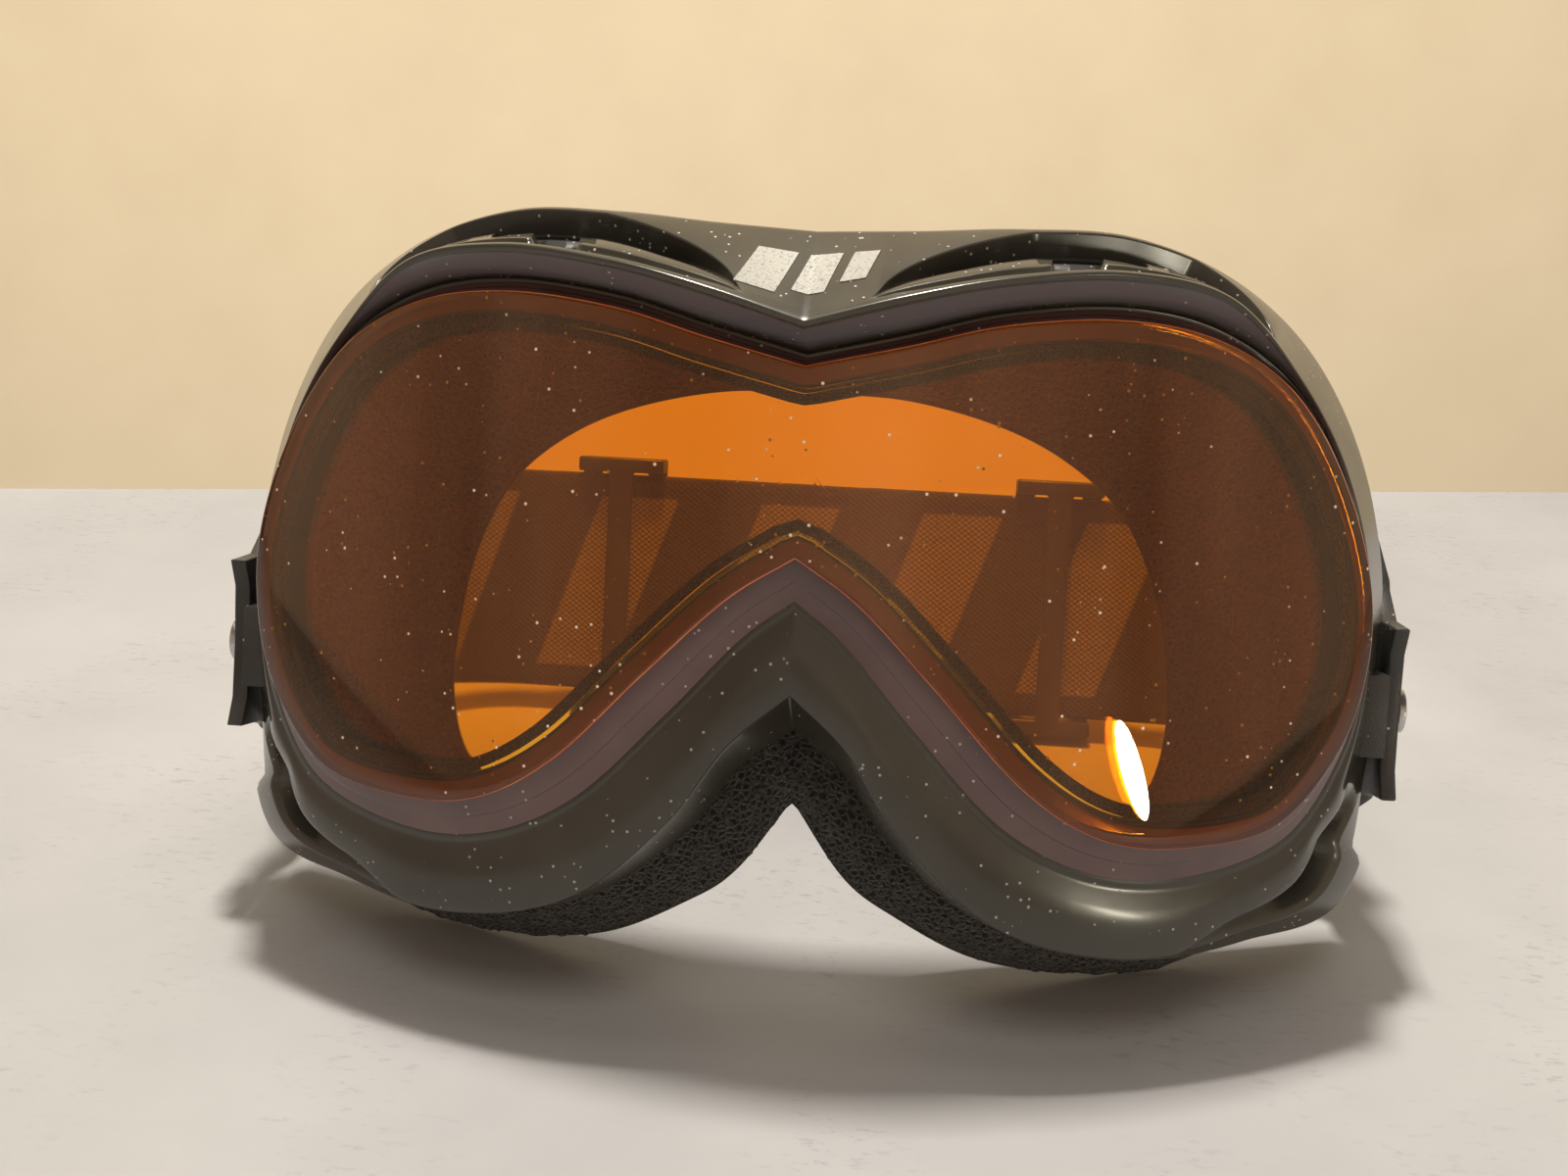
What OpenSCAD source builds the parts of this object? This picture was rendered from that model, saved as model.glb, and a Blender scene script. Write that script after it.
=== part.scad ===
// Sports goggles with an amber double lens, a soft moulded frame and an elastic head strap.
// Every module draws in the goggle frame: +X to the right, +Y rearwards, +Z up, origin on the lens over the nose.
// posed() then leans the whole object back, as it rests on its face foam and on the back of its strap.
// An outline is a list of [x, z, depth] knots down the right half; depth counts rearwards from the lens curve.

/* [Lens] */
// radius of the lens's front in plan
lens_curve = 170; // [150:5:220]
// thickness of the outer lens
outer_lens_t = 2.2; // [1.6:0.1:2.4]
// thickness of the inner lens
inner_lens_t = 1.2; // [0.8:0.1:1.4]
// thickness of the foam spacer between the lenses
spacer_t = 2.3; // [1.6:0.1:2.4]

/* [Frame] */
// wall thickness of the moulded frame
frame_wall = 2.6; // [2.2:0.1:3]
// how far the frame's rear flange reaches inwards
flange_reach = 11; // [8:0.5:12]
// depth of the scoops in the brow
scoop_depth = 3.4; // [1:0.2:4]
// depth of the long recesses in the lower corners
recess_depth = 2.6; // [1:0.2:3]
// how far the object leans back where it rests
lean = 15; // [10:1:20]

/* [Foam] */
// how much the face foam's opening is made narrower or wider all round
opening_grow = 0; // [-2:0.5:3]
// thickness of the fleece on the pad
fleece_t = 1.2; // [0.8:0.1:1.6]

/* [Strap] */
// width of the webbing
strap_w = 46; // [40:1:46]
// thickness of the webbing
strap_t = 1.6; // [1.2:0.1:1.8]
// depth of the back of the strap behind the lens
strap_back_y = 132; // [126:1:160]
// radius of the strap's rear corners
strap_corner_r = 28; // [20:1:34]
// height of the middle of the strap
strap_z = -16.5; // [-16.5:0.5:-14]

/* [Hardware] */
// radius of the temple pivot pins
pin_r = 2; // [1.5:0.1:2.5]
// thickness of the outrigger arms
arm_t = 2.6; // [2.2:0.1:3]
// distance of each strap adjuster from the middle
adjuster_x = 46; // [40:1:50]

/* [Hidden] */
$fn = 64;
gap = 0.3;            // clearance between pieces that move apart
bore_clearance = 0.06;
spans = 3;            // spline steps between two knots
pivot_y = 44;
pivot_z = -22;
arm_x = 92.4;         // inner face of an outrigger at its pivot
arm_inset = 2.8;      // how far the arm steps inwards behind the pivot
bar_y = 65.2;         // middle of the bar that carries the strap
bar_half = 1.75;
strap_x = arm_x - arm_inset + arm_t / 2;
loop_end_y = 82;
corner_y = strap_back_y - strap_corner_r;
back_run = strap_x + strap_t / 2 - strap_corner_r;
rest_z = 77;          // height of the lens's nose point above the table
rest_y = -63.9;

lens_edge = [
  [0, 27.2, 0], [14, 30.6, 0], [28, 34.3, 0], [44, 36, 0], [58, 34.2, 0], [70, 27.8, 0],
  [79, 16, 0], [85, 1, 0], [86, -12, 0], [82.5, -25, 0], [73, -36.6, 0], [59, -39.8, 0],
  [46, -38.6, 0], [34, -31.5, 0], [21, -18, 0], [9.5, -6.5, 0], [0, 0, 0]
];

rim_edge = [
  [0, 28.5, 4.3], [14, 32, 4.3], [28, 35.8, 4.3], [44.5, 37.6, 4.3], [58.6, 35.4, 4.3], [70.6, 28.3, 4.3],
  [79.4, 16.1, 4.3], [85.3, 1, 4.3], [86.3, -12.8, 4.3], [83.4, -26.8, 4.3], [75, -39.6, 4.3], [60, -45.1, 4.3],
  [45.5, -44.7, 4.3], [31.5, -38, 4.3], [18, -24.3, 4.3], [7.5, -12.5, 4.3], [0, -6.5, 4.3]
];

brim_foot = [
  [0, 30, 1], [14, 33.2, 1], [28, 36.8, 1], [44.5, 38.5, 1.5], [59, 36.5, 2], [70.9, 28.8, 3],
  [79.8, 16.4, 4.4], [85.8, 1, 4.8], [86.9, -13.2, 4.9], [84.2, -27.6, 4.9], [75.6, -40.9, 4.8], [60, -46.3, 4.8],
  [45.2, -45.7, 4.8], [31, -38.8, 4.8], [17.5, -25, 4.8], [7.2, -13.5, 4.8], [0, -7.5, 4.8]
];

bezel = [
  [0, 32.5, -6.5], [14, 36.8, -6], [28, 40.1, -5], [44.5, 41.9, -4], [59.5, 39.6, -2.4], [71.2, 29.2, 0.6],
  [80.2, 16.8, 3.6], [86.2, 1, 5.2], [87.4, -13.6, 5.8], [85.6, -29, 6], [79.6, -47.8, 5.2], [62, -56.4, 5],
  [46, -57.2, 5], [30.5, -52.3, 5], [17.5, -40.5, 5], [8.7, -28, 5], [0, -20, 5]
];

rear_edge = [
  [0, 47, 12], [15, 47.8, 12], [30, 49, 12.5], [46, 49, 13], [62, 44, 13.5], [75.5, 34, 14],
  [85.5, 19, 15], [91, 1, 15], [91.5, -14, 15], [91, -31, 15], [86, -51.5, 14], [64, -60.3, 16],
  [47, -60, 17], [29.5, -55, 17], [15.5, -44, 17], [8, -33.5, 17], [0, -27, 17]
];

inner_front = [
  [0, 32.5, 7], [14, 36, 7], [28, 39.6, 7], [45, 41.2, 7.4], [60, 38, 7.8], [70.4, 29.2, 8.2],
  [78.6, 16.6, 8.5], [84, 1, 8.5], [85.2, -14, 8.5], [83.6, -29, 8.2], [76.8, -45, 7.6], [61.5, -53.6, 7.6],
  [46.5, -54.6, 7.6], [32.5, -49.8, 7.6], [19.5, -39, 7.6], [10, -26, 7.6], [0, -17, 7.6]
];

pad_edge = [
  [0, 44, 30], [15, 45, 30], [30, 46.5, 30], [46, 47, 29], [61, 42, 28], [74, 32, 28],
  [83, 18, 28], [87, 1, 28], [87.5, -14, 28.5], [87.5, -32, 30], [81, -54, 32], [63, -66.5, 33],
  [47, -68.5, 33], [30, -66, 32], [16, -58.5, 29], [8, -52, 26], [0, -40.5, 24]
];

pad_opening = [
  [0, 23, 31], [14, 22.6, 31], [28, 19.5, 31.5], [39, 14.5, 32], [48, 7, 33], [54, -4, 34],
  [57, -16, 34.5], [58, -28, 35], [55.5, -38, 35.5], [48.5, -44.5, 36], [40, -45.5, 36], [32, -42, 36],
  [25, -36.5, 35], [18.5, -31, 33.5], [12, -26.5, 31.5], [6, -23.5, 29.5], [0, -22.5, 28]
];

function sag(x) = lens_curve - sqrt(lens_curve * lens_curve - x * x);

// the closed list of knots, from the right half and its mirror image
function all_round(half) =
  concat(half, [for (i = [len(half) - 2:-1:1]) [-half[i][0], half[i][1], half[i][2]]]);

function spline(a, b, c, d, t) =
  0.5 * (2 * b + (c - a) * t + (2 * a - 5 * b + 4 * c - d) * t * t + (3 * b - a - 3 * c + d) * t * t * t);

function smooth(half) =
  let (k = all_round(half), n = len(k))
  [for (i = [0:n - 1]) for (s = [0:spans - 1])
    spline(k[(i + n - 1) % n], k[i], k[(i + 1) % n], k[(i + 2) % n], s / spans)];

function unit(v) = v / norm(v);

// moves a smooth loop outwards in x and z and rearwards; the loop runs clockwise seen from the front
function moved(loop, out, back = 0) =
  let (n = len(loop))
  [for (i = [0:n - 1])
    let (a = loop[(i + n - 1) % n], b = loop[(i + 1) % n], u = unit([b[0] - a[0], b[1] - a[1]]))
    [loop[i][0] - u[1] * out, loop[i][1] + u[0] * out, loop[i][2] + back]];

function at_depth(loop, depth) = [for (p = loop) [p[0], p[1], depth]];

function between(a, b, t) = [for (i = [0:len(a) - 1]) a[i] * (1 - t) + b[i] * t];

function ramp(x, low, high) =
  let (t = min(1, max(0, (x - low) / (high - low))))
  t * t * (3 - 2 * t);

// how much of the brow scoop's depth applies at a point: full between the tip by the middle and the outer end
function scoop_share(p) =
  p[1] < 25 ? 0 : ramp(abs(p[0]), 9, 22) * (1 - ramp(abs(p[0]), 52, 64));

// how much of the lower corner's recess applies at a point
function recess_share(p) =
  p[1] > -38 ? 0 : ramp(abs(p[0]), 54, 66) * (1 - ramp(abs(p[0]), 79, 84));

// pushes a loop on the frame's outer wall in by the scoops and the recesses
function sunk(loop) =
  let (n = len(loop))
  [for (i = [0:n - 1])
    let (p = loop[i], s = scoop_share(p), r = recess_share(p))
    let (a = loop[(i + n - 1) % n], b = loop[(i + 1) % n], u = unit([b[0] - a[0], b[1] - a[1]]))
    let (inwards = -0.72 * scoop_depth * s - recess_depth * r)
    [p[0] - u[1] * inwards, p[1] + u[0] * inwards, p[2] + 0.6 * scoop_depth * s]];

function solid_points(loops) =
  [for (loop = loops) for (p = loop) [p[0], sag(p[0]) + p[2], p[1]]];

// a closed ring whose cross-section runs through the given loops in turn
module ring(loops) {
  n = len(loops[0]);
  m = len(loops);
  quads = [for (j = [0:m - 1]) for (i = [0:n - 1])
    [j * n + i, j * n + (i + 1) % n, ((j + 1) % m) * n + (i + 1) % n, ((j + 1) % m) * n + i]];
  faces = [for (q = quads) for (t = [0, 1]) t == 0 ? [q[0], q[2], q[1]] : [q[0], q[3], q[2]]];
  polyhedron(points = solid_points(loops), faces = faces);
}

// a curved plate between two depths behind the lens curve, cut to a flat outline seen from the front
module curved_plate(front, thickness) {
  intersection() {
    translate([0, lens_curve, -80])
      difference() {
        cylinder(r = lens_curve - front, h = 160);
        translate([0, 0, -1])
          cylinder(r = lens_curve - front - thickness, h = 162);
      }
    translate([0, 60, 0])
      rotate([90, 0, 0])
        linear_extrude(80)
          children();
  }
}

module flat_outline(loop) {
  polygon([for (p = loop) [p[0], p[1]]]);
}

module posed() {
  translate([0, rest_y, rest_z])
    rotate([-lean, 0, 0])
      children();
}

module sided(side) {
  mirror([side > 0 ? 0 : 1, 0, 0])
    children();
}

lens_loop = smooth(lens_edge);
rim_loop = smooth(rim_edge);
foot_loop = smooth(brim_foot);
bezel_loop = smooth(bezel);
rear_loop = smooth(rear_edge);
front_in_loop = smooth(inner_front);
pad_loop = smooth(pad_edge);
opening_loop = moved(smooth(pad_opening), opening_grow);
seat_loop = moved(lens_loop, -3.2);
flange_loop = moved(rear_loop, -flange_reach, 3);

// vent windows through the floor of a brow scoop and of a corner recess
module vent_windows() {
  for (side = [-1, 1]) {
    for (x = [24:10:54])
      translate([side * x, sag(x) + 4.6, 44.5])
        rotate([27, 0, 0])
          slot_cutter(7, 2.6, 20);
    for (i = [0:2])
      translate([side * (64 + 6 * i), sag(64 + 6 * i) + 11, -56 + 2 * i])
        rotate([0, side * 12, 0])
          slot_cutter(4, 3, 20);
  }
}

// a rounded slot, long across x, cut along z
module slot_cutter(long, wide, deep) {
  translate([0, 0, -deep / 2])
    linear_extrude(deep)
      union() {
        square([long - wide, wide], center = true);
        for (end = [-1, 1])
          translate([end * (long - wide) / 2, 0])
            circle(r = wide / 2);
      }
}

// holes in the frame's sides that clear the inner ends of the pivot pins
module pin_holes() {
  for (side = [0, 1])
    mirror([side, 0, 0])
      translate([90.2, pivot_y, pivot_z])
        rotate([0, 90, 0])
          cylinder(r = pin_r + gap, h = 4);
}

module frame_shell() {
  color([0.13, 0.13, 0.1])
    posed()
      difference() {
        ring([
          at_depth(seat_loop, 4.6),
          at_depth(moved(rim_loop, 0.4), 4.6),
          foot_loop,
          bezel_loop,
          between(bezel_loop, rear_loop, 0.3),
          sunk(between(bezel_loop, rear_loop, 0.4)),
          sunk(between(bezel_loop, rear_loop, 0.72)),
          between(bezel_loop, rear_loop, 0.82),
          rear_loop,
          moved(rear_loop, 0, 3),
          flange_loop,
          moved(rear_loop, -flange_reach, 0.8),
          moved(rear_loop, -frame_wall, 0.8),
          front_in_loop,
          at_depth(seat_loop, 7)
        ]);
        vent_windows();
        pin_holes();
      }
}

module outer_lens() {
  color([0.85, 0.45, 0.1, 0.5])
    posed()
      curved_plate(0, outer_lens_t)
        flat_outline(lens_loop);
}

module lens_spacer() {
  color([0.08, 0.07, 0.07])
    posed()
      curved_plate(outer_lens_t + 0.05, spacer_t)
        difference() {
          flat_outline(moved(lens_loop, -3.9));
          flat_outline(moved(lens_loop, -5.6));
        }
}

module inner_lens() {
  color([0.9, 0.55, 0.2, 0.5])
    posed()
      curved_plate(outer_lens_t + spacer_t + 0.1, inner_lens_t)
        flat_outline(moved(lens_loop, -3.8));
}

module lens_rim() {
  color([0.17, 0.12, 0.13])
    posed()
      ring([
        at_depth(moved(lens_loop, -0.5), 2.9),
        rim_loop,
        at_depth(moved(lens_loop, -2.8), 4.3),
        at_depth(moved(lens_loop, -2.8), 2.9)
      ]);
}

module face_foam() {
  color([0.1, 0.1, 0.1])
    posed()
      ring([
        moved(rear_loop, 0.6 - flange_reach, 3.3),
        moved(rear_loop, -1.8, 3.3),
        moved(between(rear_loop, pad_loop, 0.55), 0.2, 1),
        pad_loop,
        opening_loop
      ]);
}

module face_fleece() {
  color([0.06, 0.06, 0.07])
    posed()
      ring([
        moved(opening_loop, 0.2, 0.3),
        moved(pad_loop, -0.2, 0.3),
        moved(pad_loop, -0.6, fleece_t + 0.3),
        moved(opening_loop, 0.6, fleece_t + 0.3)
      ]);
}

module top_vent_foam(side) {
  color([0.15, 0.15, 0.15])
    posed()
      sided(side)
        curved_plate(9.2, 2.9)
          translate([14, 36])
            square([41, 3.6]);
}

module bottom_vent_foam(side) {
  color([0.15, 0.15, 0.15])
    posed()
      sided(side)
        curved_plate(9, 3.4)
          translate([60, -51.5])
            rotate(17)
              square([18, 4]);
}

// the boss on the frame's side that carries an outrigger's pivot
module temple_mount(side) {
  color([0.09, 0.09, 0.09])
    posed()
      sided(side)
        difference() {
          union() {
            translate([87.4, 35, pivot_z - 6.5])
              cube([4.7, 7.6, 13]);
            translate([90.2, pivot_y, pivot_z])
              rotate([0, 90, 0])
                cylinder(r = 6.5, h = 1.9);
          }
          translate([90, pivot_y, pivot_z])
            rotate([0, 90, 0])
              cylinder(r = pin_r + 0.02, h = 3);
        }
}

module pivot_pin(side) {
  color([0.6, 0.6, 0.62])
    posed()
      sided(side)
        union() {
          translate([90.6, pivot_y, pivot_z])
            rotate([0, 90, 0])
              cylinder(r = pin_r, h = arm_x + arm_t + gap - 90.6 + 0.5);
          translate([arm_x + arm_t + gap, pivot_y, pivot_z])
            rotate([0, 90, 0])
              cylinder(r = pin_r + 1.5, h = 1.2);
        }
}

// seen from the side, the arm has two pointed front corners, is narrow at the pivot and wide at the strap
module arm_side() {
  slot = strap_w / 2 + 0.6;
  difference() {
    polygon([
      [36.2, -8], [45, -7.5], [51, -3], [57, strap_z + slot + 2], [67, strap_z + slot + 2],
      [67, strap_z - slot - 2], [57, strap_z - slot - 2], [51, -37.5], [45, -36], [36.5, -35.5],
      [38.6, -31], [39, -22], [38.6, -12.5]
    ]);
    translate([60.2, strap_z - slot])
      square([bar_y - bar_half - 60.2, 2 * slot]);
    translate([pivot_y, pivot_z])
      circle(r = pin_r + bore_clearance);
  }
}

module outrigger(side) {
  color([0.1, 0.1, 0.1])
    posed()
      sided(side)
        intersection() {
          translate([arm_x - 10, 0, 0])
            rotate([90, 0, 90])
              linear_extrude(20)
                arm_side();
          translate([0, 0, -60])
            linear_extrude(80)
              polygon([
                [arm_x, 30], [arm_x + arm_t, 30], [arm_x + arm_t, 52], [arm_x + arm_t - arm_inset, 58],
                [arm_x + arm_t - arm_inset, 70], [arm_x - arm_inset, 70], [arm_x - arm_inset, 58], [arm_x, 51]
              ]);
        }
}

// the strap's end, folded round the outrigger's bar and brought back on itself
module strap_loop(side) {
  inner_r = 2.75;
  outer_r = inner_r + strap_t;
  color([0.12, 0.08, 0.07])
    posed()
      sided(side)
        translate([0, 0, strap_z - strap_w / 2])
          linear_extrude(strap_w)
            difference() {
              union() {
                translate([strap_x, bar_y])
                  circle(r = outer_r);
                translate([strap_x - strap_t, bar_y + 2])
                  square([2 * strap_t, loop_end_y - bar_y - 2]);
              }
              translate([strap_x, bar_y])
                circle(r = inner_r);
            }
}

// rows of stitching that close the fold, on both faces of the doubled strap
module bartack(side) {
  color([0.3, 0.28, 0.26])
    posed()
      sided(side)
        for (row = [0, 1])
          for (face = [-1, 1])
            translate([strap_x + face * (strap_t + 0.12) - 0.17, 72.5 + 4 * row, strap_z - strap_w / 2 + 2])
              cube([0.34, 1.6, strap_w - 4]);
}

module strap_side(side) {
  color([0.12, 0.08, 0.07])
    posed()
      sided(side)
        translate([strap_x - strap_t / 2, loop_end_y, strap_z - strap_w / 2])
          cube([strap_t, corner_y - loop_end_y, strap_w]);
}

// the rear run of the strap with its two round corners
module strap_back() {
  color([0.12, 0.08, 0.07])
    posed()
      translate([0, 0, strap_z - strap_w / 2])
        linear_extrude(strap_w)
          union() {
            translate([-back_run, strap_back_y - strap_t])
              square([2 * back_run, strap_t]);
            for (side = [0, 1])
              mirror([side, 0])
                intersection() {
                  translate([back_run, corner_y])
                    difference() {
                      circle(r = strap_corner_r);
                      circle(r = strap_corner_r - strap_t);
                    }
                  translate([back_run, corner_y + 0.05])
                    square(strap_corner_r + 5);
                }
          }
}

// the strap's free end, lying on the outside of the rear run
module strap_tail(side) {
  color([0.12, 0.08, 0.07])
    posed()
      sided(side)
        translate([6, strap_back_y + 0.1, strap_z - strap_w / 2])
          cube([54, strap_t, strap_w]);
}

// a ladder buckle: two bars outside the strap, one inside, joined beyond its edges
module adjuster(side) {
  half_h = strap_w / 2 + gap + 0.2;
  bar_t = 1.8;
  inner_y = strap_back_y - strap_t - gap - bar_t;
  outer_y = strap_back_y + strap_t + 0.1 + gap;
  color([0.08, 0.08, 0.08])
    posed()
      sided(side)
        translate([adjuster_x, 0, strap_z])
          union() {
            for (end = [-1, 1])
              translate([-9, inner_y, end * (half_h + 1.5) - 1.5])
                cube([18, outer_y + bar_t - inner_y, 3]);
            for (end = [-1, 1])
              translate([end * 7 - 2, outer_y, -half_h - 1])
                cube([4, bar_t, 2 * half_h + 2]);
            translate([-2.5, inner_y, -half_h - 1])
              cube([5, bar_t, 2 * half_h + 2]);
          }
}

frame_shell();
outer_lens();
lens_spacer();
inner_lens();
lens_rim();
face_foam();
face_fleece();
top_vent_foam(-1);  // top_vent_foam_left
top_vent_foam(1);  // top_vent_foam_right
bottom_vent_foam(-1);  // bottom_vent_foam_left
bottom_vent_foam(1);  // bottom_vent_foam_right
temple_mount(-1);  // temple_mount_left
temple_mount(1);  // temple_mount_right
pivot_pin(-1);  // pivot_pin_left
pivot_pin(1);  // pivot_pin_right
outrigger(-1);  // outrigger_left
outrigger(1);  // outrigger_right
strap_loop(-1);  // strap_loop_left
strap_loop(1);  // strap_loop_right
bartack(-1);  // bartack_left
bartack(1);  // bartack_right
strap_side(-1);  // strap_side_left
strap_side(1);  // strap_side_right
strap_back();
strap_tail(-1);  // strap_tail_left
strap_tail(1);  // strap_tail_right
adjuster(-1);  // adjuster_left
adjuster(1);  // adjuster_right
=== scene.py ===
import math

import bmesh
import bpy
import numpy as np
from mathutils import Matrix, Vector, noise


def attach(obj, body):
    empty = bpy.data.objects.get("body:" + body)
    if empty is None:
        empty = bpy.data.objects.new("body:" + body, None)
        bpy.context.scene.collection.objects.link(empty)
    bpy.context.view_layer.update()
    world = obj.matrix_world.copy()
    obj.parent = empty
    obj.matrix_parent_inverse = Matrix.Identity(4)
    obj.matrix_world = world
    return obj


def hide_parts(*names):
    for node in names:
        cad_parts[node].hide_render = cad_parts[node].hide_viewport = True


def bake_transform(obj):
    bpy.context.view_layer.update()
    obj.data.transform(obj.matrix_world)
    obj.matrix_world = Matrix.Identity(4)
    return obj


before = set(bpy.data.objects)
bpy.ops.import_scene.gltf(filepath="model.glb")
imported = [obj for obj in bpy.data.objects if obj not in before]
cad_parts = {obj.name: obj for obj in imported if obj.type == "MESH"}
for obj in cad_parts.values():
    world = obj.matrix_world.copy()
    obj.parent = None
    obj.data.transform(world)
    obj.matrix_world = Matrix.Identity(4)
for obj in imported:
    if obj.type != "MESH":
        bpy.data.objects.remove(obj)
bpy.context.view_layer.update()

# ---------------------------------------------------------------- the goggle frame
# x to the right, y rearwards, z up, millimetres, origin on the lens over the nose.

LEAN = math.radians(15)
REST = np.array([0.0, -63.9, 77.0])
LENS_CURVE = 170.0


def posed(p):
    """Points of the goggle frame in millimetres, as scene points in metres."""
    p = np.asarray(p, float)
    x, y, z = p[..., 0], p[..., 1], p[..., 2]
    c, s = math.cos(LEAN), math.sin(LEAN)
    return np.stack([x + REST[0], y * c + z * s + REST[1], z * c - y * s + REST[2]], -1) / 1000


def posed_one(x, y, z):
    return Vector([float(v) for v in posed([x, y, z])])


def sag(x):
    return LENS_CURVE - np.sqrt(LENS_CURVE ** 2 - np.asarray(x, float) ** 2)


# ---------------------------------------------------------------- camera, at the photographed angle

CAMERA_LENS = 42.75
SENSOR = 36.0
CAMERA_DISTANCE = 0.262
CAMERA_AZIMUTH = math.radians(4.3)
CAMERA_ELEVATION = math.radians(20.0)
CAMERA_ROLL = math.radians(1.9)
AIM_OFFSET = (0.0015, 0.0040)


def make_camera():
    a, e = CAMERA_AZIMUTH, CAMERA_ELEVATION
    back = Vector((math.sin(a) * math.cos(e), -math.cos(a) * math.cos(e), math.sin(e)))
    right = Vector((math.cos(a), math.sin(a), 0.0))
    up = back.cross(right)
    c, s = math.cos(CAMERA_ROLL), math.sin(CAMERA_ROLL)
    right, up = right * c + up * s, up * c - right * s
    nose = posed_one(0, 0, 0)
    place = nose + back * CAMERA_DISTANCE - right * AIM_OFFSET[0] - up * AIM_OFFSET[1]
    data = bpy.data.cameras.new("camera")
    data.sensor_width = SENSOR
    data.lens = CAMERA_LENS
    data.clip_start = 0.01
    data.clip_end = 20.0
    cam = bpy.data.objects.new("camera", data)
    turn = Matrix((right, up, back)).transposed().to_4x4()
    cam.matrix_world = Matrix.Translation(place) @ turn
    bpy.context.scene.collection.objects.link(cam)
    bpy.context.scene.camera = cam


make_camera()
bpy.context.scene.view_settings.view_transform = "Standard"

# ---------------------------------------------------------------- outlines, the same knots as the CAD

LENS_EDGE = [
    (0, 27.2, 0), (14, 30.6, 0), (28, 34.3, 0), (44, 36, 0), (58, 34.2, 0), (70, 27.8, 0),
    (79, 16, 0), (85, 1, 0), (86, -12, 0), (82.5, -25, 0), (73, -36.6, 0), (59, -39.8, 0),
    (46, -38.6, 0), (34, -31.5, 0), (21, -18, 0), (9.5, -6.5, 0), (0, 0, 0)]
RIM_EDGE = [
    (0, 28.5, 4.3), (14, 32, 4.3), (28, 35.8, 4.3), (44.5, 37.6, 4.3), (58.6, 35.4, 4.3),
    (70.6, 28.3, 4.3), (79.4, 16.1, 4.3), (85.3, 1, 4.3), (86.3, -12.8, 4.3), (83.4, -26.8, 4.3),
    (75, -39.6, 4.3), (60, -45.1, 4.3), (45.5, -44.7, 4.3), (31.5, -38, 4.3), (18, -24.3, 4.3),
    (7.5, -12.5, 4.3), (0, -6.5, 4.3)]
BRIM_FOOT = [
    (0, 30, 1), (14, 33.2, 1), (28, 36.8, 1), (44.5, 38.5, 1.5), (59, 36.5, 2), (70.9, 28.8, 3),
    (79.8, 16.4, 4.4), (85.8, 1, 4.8), (86.9, -13.2, 4.9), (84.2, -27.6, 4.9), (75.6, -40.9, 4.8),
    (60, -46.3, 4.8), (45.2, -45.7, 4.8), (31, -38.8, 4.8), (17.5, -25, 4.8),
    (7.2, -13.5, 4.8), (0, -7.5, 4.8)]
BEZEL = [
    (0, 32.5, -6.5), (14, 36.8, -6), (28, 40.1, -5), (44.5, 41.9, -4), (59.5, 39.6, -2.4), (71.2, 29.2, 0.6),
    (80.2, 16.8, 3.6), (86.2, 1, 5.2), (87.4, -13.6, 5.8), (85.6, -29, 6), (79.6, -47.8, 5.2), (62, -56.4, 5),
    (46, -57.2, 5), (30.5, -52.3, 5), (17.5, -40.5, 5), (8.7, -28, 5), (0, -20, 5)]
REAR_EDGE = [
    (0, 47, 12), (15, 47.8, 12), (30, 49, 12.5), (46, 49, 13), (62, 44, 13.5), (75.5, 34, 14),
    (85.5, 19, 15), (91, 1, 15), (91.5, -14, 15), (91, -31, 15), (86, -51.5, 14), (64, -60.3, 16),
    (47, -60, 17), (29.5, -55, 17), (15.5, -44, 17), (8, -33.5, 17), (0, -27, 17)]
INNER_FRONT = [
    (0, 32.5, 7), (14, 36, 7), (28, 39.6, 7), (45, 41.2, 7.4), (60, 38, 7.8), (70.4, 29.2, 8.2),
    (78.6, 16.6, 8.5), (84, 1, 8.5), (85.2, -14, 8.5), (83.6, -29, 8.2), (76.8, -45, 7.6), (61.5, -53.6, 7.6),
    (46.5, -54.6, 7.6), (32.5, -49.8, 7.6), (19.5, -39, 7.6), (10, -26, 7.6), (0, -17, 7.6)]
PAD_EDGE = [
    (0, 44, 30), (15, 45, 30), (30, 46.5, 30), (46, 47, 29), (61, 42, 28), (74, 32, 28),
    (83, 18, 28), (87, 1, 28), (87.5, -14, 28.5), (87.5, -32, 30), (81, -54, 32), (63, -66.5, 33),
    (47, -68.5, 33), (30, -66, 32), (16, -58.5, 29), (8, -52, 26), (0, -40.5, 24)]
PAD_OPENING = [
    (0, 23, 31), (14, 22.6, 31), (28, 19.5, 31.5), (39, 14.5, 32), (48, 7, 33), (54, -4, 34),
    (57, -16, 34.5), (58, -28, 35), (55.5, -38, 35.5), (48.5, -44.5, 36), (40, -45.5, 36), (32, -42, 36),
    (25, -36.5, 35), (18.5, -31, 33.5), (12, -26.5, 31.5), (6, -23.5, 29.5), (0, -22.5, 28)]


def smooth(half, steps):
    """The closed loop through the right half's knots and their mirror image.

    The knots are (x, z, depth behind the lens curve), and the loop has a corner at the first and last."""
    k = [np.array(p, float) for p in half]
    k += [p * (-1, 1, 1) for p in k[-2:0:-1]]
    n, corners = len(k), (0, len(half) - 1)
    out = []
    for i in range(n):
        b, c = k[i], k[(i + 1) % n]
        a = 2 * b - c if i in corners else k[i - 1]
        d = 2 * c - b if (i + 1) % n in corners else k[(i + 2) % n]
        for s in range(steps):
            t = s / steps
            out.append(0.5 * (2 * b + (c - a) * t + (2 * a - 5 * b + 4 * c - d) * t ** 2
                              + (3 * b - a - 3 * c + d) * t ** 3))
    return np.array(out)


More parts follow.
